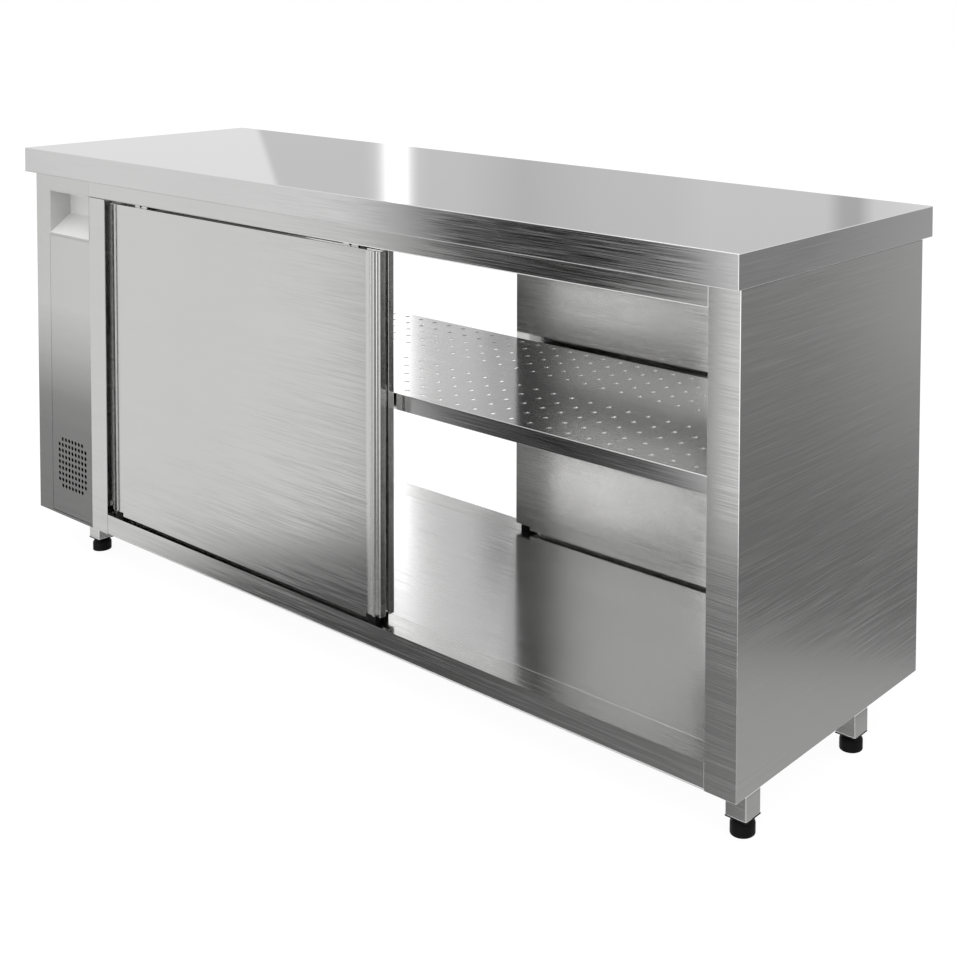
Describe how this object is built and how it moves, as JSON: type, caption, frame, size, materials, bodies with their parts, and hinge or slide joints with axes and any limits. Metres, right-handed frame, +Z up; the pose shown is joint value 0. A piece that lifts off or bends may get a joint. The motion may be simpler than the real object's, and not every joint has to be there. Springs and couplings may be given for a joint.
{
  "type": "heated counter",
  "caption": "Stainless heated counter with sliding doors on both long sides, a perforated shelf, a vented technical bay and four levelling feet.",
  "frame": {"origin": "On the floor, under the middle of the worktop", "axes": "+X along the counter to the right end, +Y from the front to the back, +Z up"},
  "size_m": [2, 0.6, 0.9],
  "materials": {
    "steel": "brushed, horizontal grain",
    "pale_steel": "fine satin",
    "dark_steel": "dull mill finish",
    "black_plastic": "matt black",
    "white_plastic": "matt white",
    "nylon": "smooth nylon",
    "red_plastic": "gloss red"
  },
  "bodies": {
    "counter": {"worktop": "steel", "left_casing": "steel", "right_side_panel": "steel", "partition_frame": "steel", "partition_lining": "pale_steel", "right_inner_wall": "pale_steel", "top_rail_front": "steel", "top_rail_back": "steel", "top_track_front": "dark_steel", "top_track_back": "dark_steel", "bottom_rail_front": "steel", "bottom_rail_back": "steel", "chamber_floor": "pale_steel", "base_tray": "dark_steel", "chamber_ceiling": "pale_steel", "mid_shelf": "pale_steel", "service_panel": "steel", "control_recess": "steel", "bay_back_panel": "steel", "cable_gland": "black_plastic", "thermostat_body": "white_plastic", "switch_body": "black_plastic", "fan_motor": "dark_steel", "heating_element": "dark_steel", "leg_front_left": "steel", "leg_plug_front_left": "black_plastic", "leg_front_right": "steel", "leg_plug_front_right": "black_plastic", "leg_back_left": "steel", "leg_plug_back_left": "black_plastic", "leg_back_right": "steel", "leg_plug_back_right": "black_plastic"},
    "door_front_outer": {"door_front_outer": "steel", "guide_front_outer_left": "black_plastic", "guide_front_outer_right": "black_plastic"},
    "roller_front_outer_left": {"roller_front_outer_left": "nylon"},
    "roller_front_outer_right": {"roller_front_outer_right": "nylon"},
    "door_front_inner": {"door_front_inner": "steel", "guide_front_inner_left": "black_plastic", "guide_front_inner_right": "black_plastic"},
    "roller_front_inner_left": {"roller_front_inner_left": "nylon"},
    "roller_front_inner_right": {"roller_front_inner_right": "nylon"},
    "door_back_inner": {"door_back_inner": "steel", "guide_back_inner_left": "black_plastic", "guide_back_inner_right": "black_plastic"},
    "roller_back_inner_left": {"roller_back_inner_left": "nylon"},
    "roller_back_inner_right": {"roller_back_inner_right": "nylon"},
    "door_back_outer": {"door_back_outer": "steel", "guide_back_outer_left": "black_plastic", "guide_back_outer_right": "black_plastic"},
    "roller_back_outer_left": {"roller_back_outer_left": "nylon"},
    "roller_back_outer_right": {"roller_back_outer_right": "nylon"},
    "foot_front_left": {"foot_front_left": "black_plastic"},
    "foot_front_right": {"foot_front_right": "black_plastic"},
    "foot_back_left": {"foot_back_left": "black_plastic"},
    "foot_back_right": {"foot_back_right": "black_plastic"},
    "thermostat_knob": {"thermostat_knob": "black_plastic"},
    "power_switch": {"power_switch": "red_plastic"},
    "fan_impeller": {"fan_impeller": "pale_steel"}
  },
  "joints": [
    {"name": "door_front_outer_slide", "type": "slide", "parent": "counter", "child": "door_front_outer", "axis": [1, 0, 0], "range_m": [-0.008, 0.736]},
    {"name": "roller_front_outer_left_spin", "type": "hinge", "parent": "door_front_outer", "child": "roller_front_outer_left", "pos_m": [-0.563, -0.2763, 0.825], "axis": [0, 1, 0], "range_deg": [-50, 4225]},
    {"name": "roller_front_outer_right_spin", "type": "hinge", "parent": "door_front_outer", "child": "roller_front_outer_right", "pos_m": [0.115, -0.2763, 0.825], "axis": [0, 1, 0], "range_deg": [-50, 4225]},
    {"name": "door_front_inner_slide", "type": "slide", "parent": "counter", "child": "door_front_inner", "axis": [1, 0, 0], "range_m": [-0.008, 0.736]},
    {"name": "roller_front_inner_left_spin", "type": "hinge", "parent": "door_front_inner", "child": "roller_front_inner_left", "pos_m": [-0.563, -0.2563, 0.825], "axis": [0, 1, 0], "range_deg": [-50, 4225]},
    {"name": "roller_front_inner_right_spin", "type": "hinge", "parent": "door_front_inner", "child": "roller_front_inner_right", "pos_m": [0.115, -0.2563, 0.825], "axis": [0, 1, 0], "range_deg": [-50, 4225]},
    {"name": "door_back_inner_slide", "type": "slide", "parent": "counter", "child": "door_back_inner", "axis": [1, 0, 0], "range_m": [-0.744, 0]},
    {"name": "roller_back_inner_left_spin", "type": "hinge", "parent": "door_back_inner", "child": "roller_back_inner_left", "pos_m": [0.173, 0.2287, 0.825], "axis": [0, 1, 0], "range_deg": [-4270, 0]},
    {"name": "roller_back_inner_right_spin", "type": "hinge", "parent": "door_back_inner", "child": "roller_back_inner_right", "pos_m": [0.851, 0.2287, 0.825], "axis": [0, 1, 0], "range_deg": [-4270, 0]},
    {"name": "door_back_outer_slide", "type": "slide", "parent": "counter", "child": "door_back_outer", "axis": [1, 0, 0], "range_m": [-0.744, 0]},
    {"name": "roller_back_outer_left_spin", "type": "hinge", "parent": "door_back_outer", "child": "roller_back_outer_left", "pos_m": [0.173, 0.2487, 0.825], "axis": [0, 1, 0], "range_deg": [-4270, 0]},
    {"name": "roller_back_outer_right_spin", "type": "hinge", "parent": "door_back_outer", "child": "roller_back_outer_right", "pos_m": [0.851, 0.2487, 0.825], "axis": [0, 1, 0], "range_deg": [-4270, 0]},
    {"name": "foot_front_left_level", "type": "slide", "parent": "counter", "child": "foot_front_left", "axis": [0, 0, 1], "range_m": [-0.015, 0]},
    {"name": "foot_front_right_level", "type": "slide", "parent": "counter", "child": "foot_front_right", "axis": [0, 0, 1], "range_m": [-0.015, 0]},
    {"name": "foot_back_left_level", "type": "slide", "parent": "counter", "child": "foot_back_left", "axis": [0, 0, 1], "range_m": [-0.015, 0]},
    {"name": "foot_back_right_level", "type": "slide", "parent": "counter", "child": "foot_back_right", "axis": [0, 0, 1], "range_m": [-0.015, 0]},
    {"name": "thermostat_knob_turn", "type": "hinge", "parent": "counter", "child": "thermostat_knob", "pos_m": [-0.7705, -0.244, 0.78], "axis": [0, 1, 0], "range_deg": [0, 270]},
    {"name": "power_switch_rock", "type": "hinge", "parent": "counter", "child": "power_switch", "pos_m": [-0.8095, -0.2413, 0.78], "axis": [1, 0, 0], "range_deg": [-16, 0]},
    {"name": "fan_impeller_spin", "type": "hinge", "parent": "counter", "child": "fan_impeller", "pos_m": [-0.7355, -0.014, 0.325], "axis": [1, 0, 0], "continuous": true}
  ],
  "couplings": [
    {"joint": "roller_front_outer_left_spin", "follows": "door_front_outer_slide", "rad_per_m": 100},
    {"joint": "roller_front_outer_right_spin", "follows": "door_front_outer_slide", "rad_per_m": 100},
    {"joint": "roller_front_inner_left_spin", "follows": "door_front_inner_slide", "rad_per_m": 100},
    {"joint": "roller_front_inner_right_spin", "follows": "door_front_inner_slide", "rad_per_m": 100},
    {"joint": "roller_back_inner_left_spin", "follows": "door_back_inner_slide", "rad_per_m": 100},
    {"joint": "roller_back_inner_right_spin", "follows": "door_back_inner_slide", "rad_per_m": 100},
    {"joint": "roller_back_outer_left_spin", "follows": "door_back_outer_slide", "rad_per_m": 100},
    {"joint": "roller_back_outer_right_spin", "follows": "door_back_outer_slide", "rad_per_m": 100}
  ]
}
